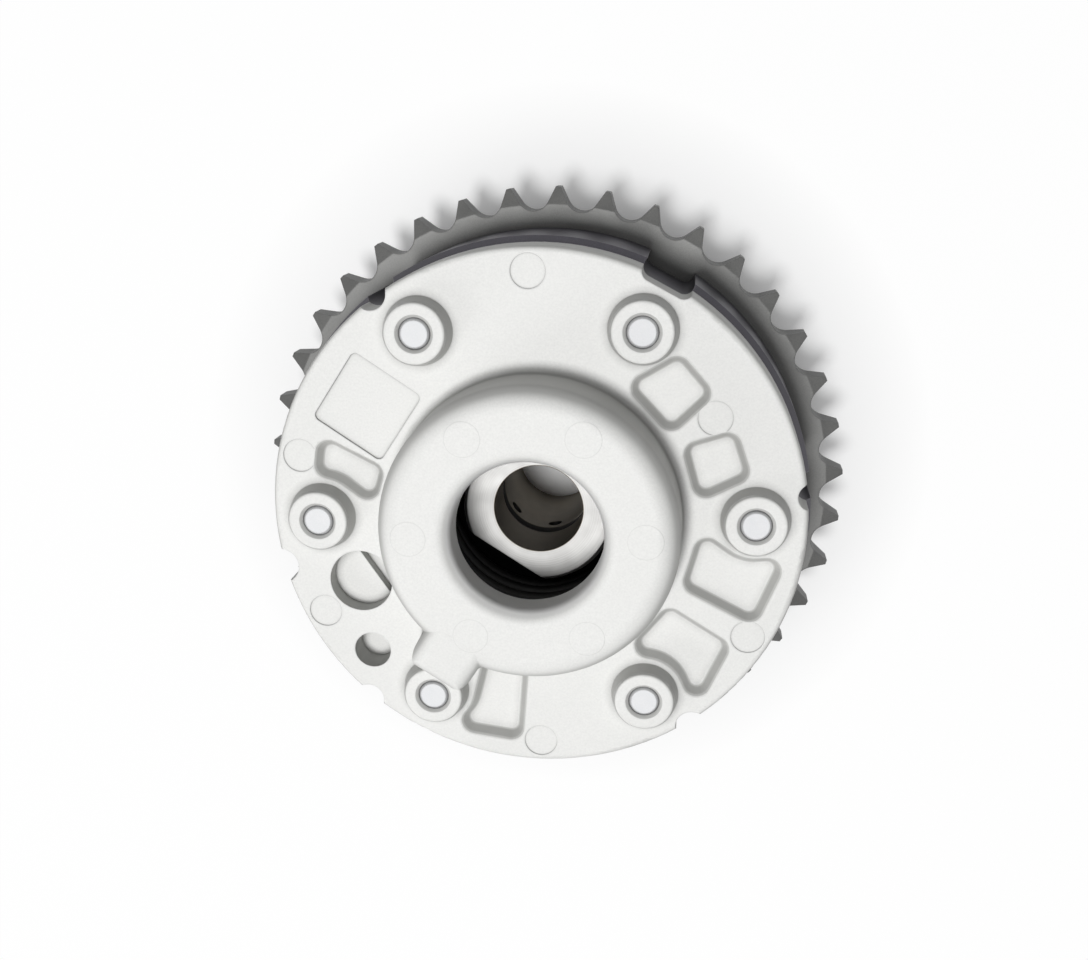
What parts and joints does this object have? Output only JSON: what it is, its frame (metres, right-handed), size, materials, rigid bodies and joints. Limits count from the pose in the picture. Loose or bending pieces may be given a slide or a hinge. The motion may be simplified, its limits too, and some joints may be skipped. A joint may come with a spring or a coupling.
{
  "type": "cam phaser",
  "caption": "Vane-type hydraulic cam phaser: chain sprocket and stator with a cast front cover, turning by oil pressure about a rotor that bolts to a camshaft.",
  "frame": {"origin": "on the axis, in the plane of the rear collar's face", "axes": "+Z along the axis towards the front cover, +X through one of the housing screws"},
  "size_m": [0.1014, 0.1012, 0.0484],
  "materials": {
    "cast_cover": "satin die-cast",
    "stator_steel": "dark steam-treated sintered steel",
    "sprocket_steel": "satin",
    "plated_screws": "bright zinc",
    "ground_pins": "ground",
    "spring_wire": "dark oil-tempered wire",
    "rotor_steel": "machined",
    "vane_steel": "ground",
    "leaf_steel": "rolled"
  },
  "bodies": {
    "housing": {"front_cover": "cast_cover", "stator_housing": "stator_steel", "chain_sprocket": "sprocket_steel", "housing_screws": "plated_screws", "locating_dowels": "ground_pins", "lock_bush": "ground_pins", "return_spring": "spring_wire"},
    "rotor": {"rotor": "rotor_steel", "lock_pin_plug": "ground_pins", "lock_pin_spring": "spring_wire", "vane_1": "vane_steel", "vane_2": "vane_steel", "vane_3": "vane_steel", "vane_4": "vane_steel", "vane_5": "vane_steel", "vane_6": "vane_steel", "vane_spring_1": "leaf_steel", "vane_spring_2": "leaf_steel", "vane_spring_3": "leaf_steel", "vane_spring_4": "leaf_steel", "vane_spring_5": "leaf_steel", "vane_spring_6": "leaf_steel"},
    "lock_pin": {"lock_pin": "ground_pins"}
  },
  "joints": [
    {"name": "rotor_turn", "type": "hinge", "parent": "housing", "child": "rotor", "pos_m": [0, 0, 0.023], "axis": [0, 0, -1], "range_deg": [0, 30], "stiffness_Nm_per_rad": 0.15, "springref_deg": -17.19, "deforming": ["return_spring"]},
    {"name": "lock_pin_slide", "type": "slide", "parent": "rotor", "child": "lock_pin", "axis": [0, 0, -1], "range_m": [0, 0.001], "deforming": ["lock_pin_spring"]}
  ]
}
